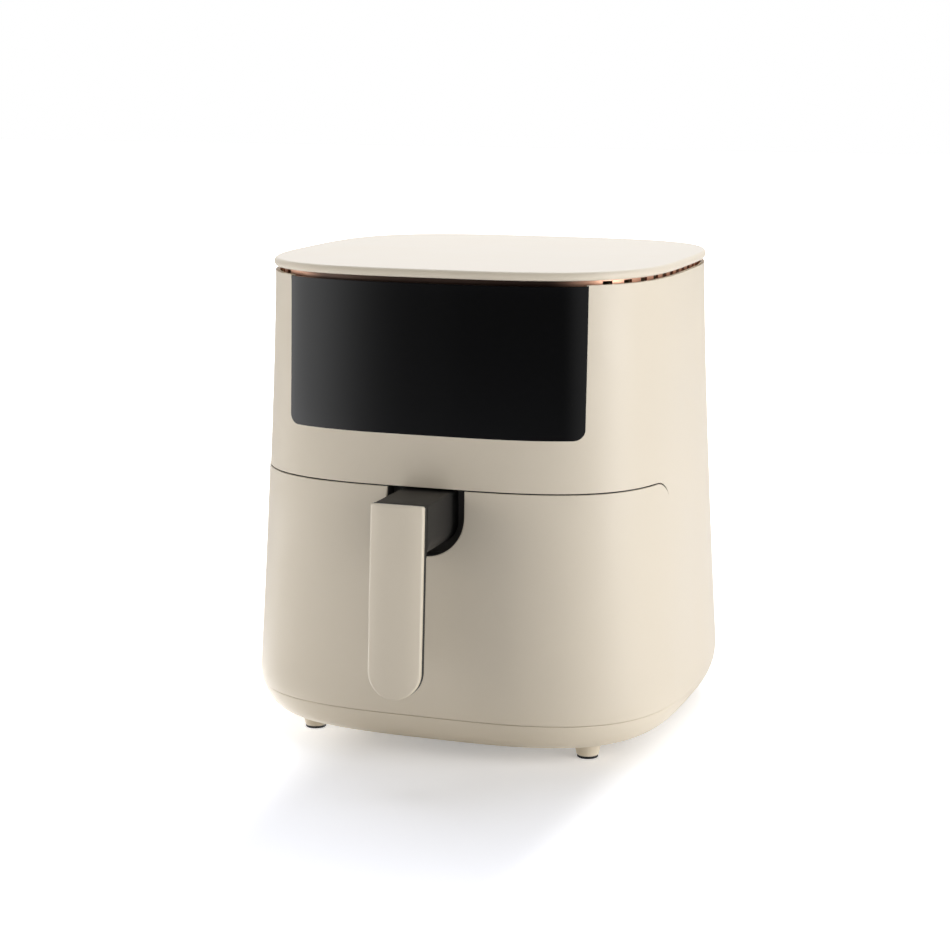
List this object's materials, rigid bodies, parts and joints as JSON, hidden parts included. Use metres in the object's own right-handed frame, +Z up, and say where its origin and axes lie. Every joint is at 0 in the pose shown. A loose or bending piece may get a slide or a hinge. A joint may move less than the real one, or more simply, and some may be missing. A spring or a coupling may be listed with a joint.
{
  "type": "air fryer",
  "caption": "Single-drawer air fryer: flared rounded-square body, flat lid over a vent ring, dark touch panel, and a drawer with a front handle, a pan and a crisper plate.",
  "frame": {"origin": "middle of the footprint, handle and cord inlet included, at worktop level", "axes": "+Z up, the drawer and the panel face -Y, +X to the right of someone facing the front"},
  "size_m": [0.296, 0.3382, 0.32],
  "materials": {
    "cream_plastic": "fine satin moulding",
    "dark_panel": "gloss",
    "copper_trim": "satin metallic",
    "charcoal_plastic": "fine matt moulding",
    "grey_plastic": "matt",
    "black_plastic": "matt",
    "foot_rubber": "matt",
    "silicone": "matt",
    "pan_coating": "non-stick coating",
    "steel": "plain sheet",
    "heater_tube": "heat-tinted",
    "aluminium": "stamped",
    "brass": "turned",
    "winding": "lacquered wire",
    "board_green": "solder mask",
    "nylon": "moulded",
    "cable": "insulation"
  },
  "bodies": {
    "body": {"body_shell": "cream_plastic", "top_cover": "cream_plastic", "vent_ring": "copper_trim", "touch_panel": "dark_panel", "panel_carrier": "grey_plastic", "touch_board": "board_green", "display_module": "black_plastic", "touch_board_screws": "steel", "base_shell": "cream_plastic", "feet": "cream_plastic", "foot_pads": "foot_rubber", "base_screws": "steel", "cavity_liner": "grey_plastic", "bay_frame": "grey_plastic", "detent_springs": "steel", "chamber_hood": "steel", "heater_guard": "steel", "heating_element": "heater_tube", "heater_clips": "steel", "heat_shield": "steel", "shield_standoffs": "steel", "motor_stator": "steel", "motor_coil": "winding", "bearing_lower": "brass", "bearing_upper": "brass", "motor_bracket": "steel", "motor_top_bar": "steel", "motor_screws": "steel", "exhaust_duct": "steel", "rear_grille": "cream_plastic", "power_board": "board_green", "board_bracket": "nylon", "board_relay": "black_plastic", "board_capacitor": "black_plastic", "temperature_sensor": "steel", "thermal_cutout": "nylon", "drawer_switch": "black_plastic", "cord_gland": "charcoal_plastic", "cord_clamp": "nylon", "clamp_screws": "steel", "terminal_block": "nylon", "heater_leads": "nylon", "panel_cable": "cable"},
    "drawer": {"drawer_front": "cream_plastic", "front_inner": "grey_plastic", "handle_pocket": "charcoal_plastic", "handle_core": "charcoal_plastic", "handle_cover": "cream_plastic", "handle_screws": "steel", "pan": "pan_coating", "pan_bracket": "steel"},
    "plate": {"crisper_plate": "pan_coating", "plate_bumpers": "silicone"},
    "fan": {"convection_fan": "aluminium", "cooling_fan": "aluminium", "motor_shaft": "steel", "fan_nut": "brass", "motor_rotor": "aluminium"},
    "plunger": {"switch_plunger": "nylon"}
  },
  "joints": [
    {"name": "drawer_slide", "type": "slide", "parent": "body", "child": "drawer", "axis": [0, -1, 0], "range_m": [0, 0.29]},
    {"name": "plate_lift", "type": "slide", "parent": "drawer", "child": "plate", "axis": [0, 0, 1], "range_m": [0, 0.11]},
    {"name": "fan_spin", "type": "hinge", "parent": "body", "child": "fan", "pos_m": [0, 0.02059, 0.25], "axis": [0, 0, 1], "continuous": true},
    {"name": "switch_press", "type": "slide", "parent": "body", "child": "plunger", "axis": [0, 1, 0], "range_m": [0, 0.0008], "stiffness_N_per_m": 200, "springref_m": -0.0015}
  ]
}
